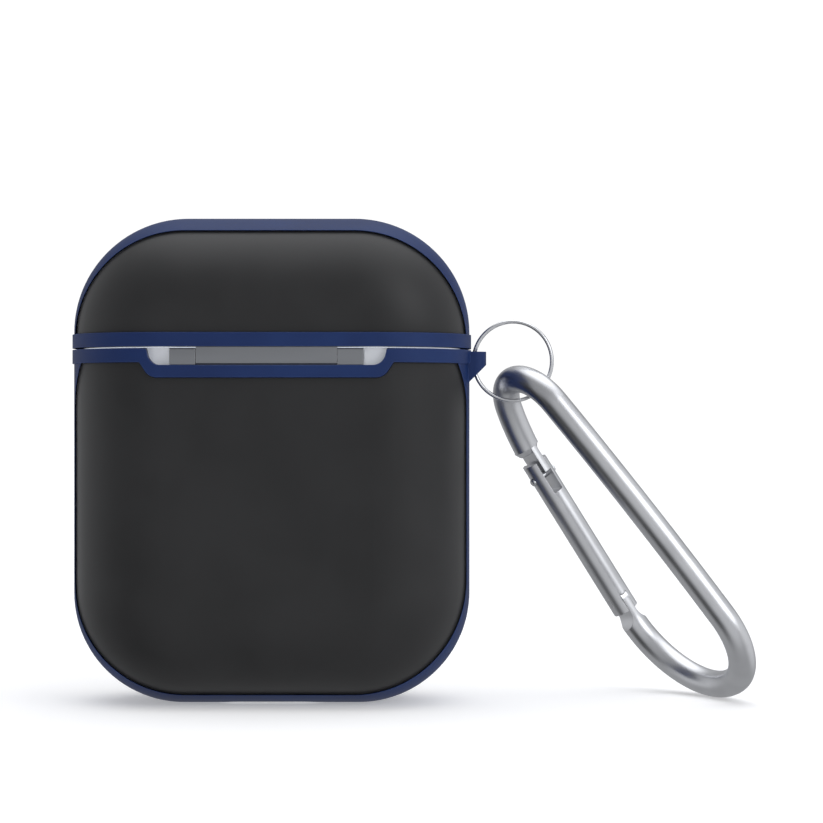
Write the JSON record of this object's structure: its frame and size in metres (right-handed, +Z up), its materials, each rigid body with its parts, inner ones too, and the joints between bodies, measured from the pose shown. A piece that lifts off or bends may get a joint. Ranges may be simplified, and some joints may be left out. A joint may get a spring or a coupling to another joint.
{
  "type": "wireless earbuds case",
  "caption": "Pocket charging case for wireless earbuds in a rigid-panelled protective cover, with a hinged lid, key ring and spring-gate carabiner.",
  "frame": {"origin": "middle of the cover's bottom, on the surface the case stands on", "axes": "+Z up, -Y the hinge side, +X the key-ring side"},
  "size_m": [0.0802, 0.0244, 0.057],
  "materials": {
    "cover_blue": "satin moulded TPU",
    "panel_grey": "fine matte",
    "shell_white": "gloss",
    "magnet": "nickel plated",
    "battery_wrap": "satin wrap",
    "board": "solder mask",
    "chip": "moulded",
    "copper": "enamelled wire",
    "port_steel": "satin",
    "contact_metal": "plated",
    "light_lens": "clear",
    "hinge_steel": "brushed",
    "pin_steel": "ground",
    "ring_steel": "nickel plated",
    "carabiner_metal": "satin"
  },
  "bodies": {
    "base": {"cover_base_frame": "cover_blue", "cover_base_rear_panel": "panel_grey", "cover_base_front_panel": "panel_grey", "base_shell": "shell_white", "earbud_cradle": "shell_white", "base_magnets": "magnet", "battery_cell": "battery_wrap", "logic_board": "board", "logic_chips": "chip", "charging_coil": "copper", "charging_port": "port_steel", "port_contacts": "contact_metal", "charge_contacts": "contact_metal", "status_light": "light_lens", "button_switch": "chip", "switch_board": "board", "hinge_base_leaf": "hinge_steel", "hinge_pin": "pin_steel"},
    "lid": {"cover_lid_frame": "cover_blue", "cover_lid_rear_panel": "panel_grey", "cover_lid_front_panel": "panel_grey", "lid_shell": "shell_white", "lid_liner": "shell_white", "lid_magnets": "magnet", "hinge_lid_leaf": "hinge_steel"},
    "button": {"setup_button": "shell_white"},
    "ring": {"key_ring": "ring_steel"},
    "carabiner": {"carabiner_body": "carabiner_metal"},
    "gate": {"carabiner_gate": "carabiner_metal", "gate_latch_pin": "pin_steel", "gate_pivot_pin": "pin_steel", "gate_plunger": "pin_steel", "gate_spring": "pin_steel"}
  },
  "joints": [
    {"name": "lid_hinge", "type": "hinge", "parent": "base", "child": "lid", "pos_m": [0, -0.0113, 0.04043], "axis": [1, 0, 0], "range_deg": [0, 92]},
    {"name": "button_press", "type": "slide", "parent": "base", "child": "button", "axis": [0, 1, 0], "range_m": [0, 0.0003], "stiffness_N_per_m": 4000, "springref_m": -0.0001},
    {"name": "ring_swing", "type": "hinge", "parent": "base", "child": "ring", "pos_m": [0.024, -0.00007, 0.04019], "axis": [0, 0, 1], "range_deg": [-14, 34]},
    {"name": "carabiner_swing", "type": "hinge", "parent": "ring", "child": "carabiner", "pos_m": [0.02917, -0.00096, 0.0358], "axis": [0.9699, -0.1684, 0.1761], "range_deg": [-12, 30]},
    {"name": "gate_pivot", "type": "hinge", "parent": "carabiner", "child": "gate", "pos_m": [0.04186, 0.00939, 0.01143], "axis": [0.725, 0.4332, 0.5355], "range_deg": [0, 26], "stiffness_Nm_per_rad": 0.004, "springref_deg": -22.92}
  ]
}
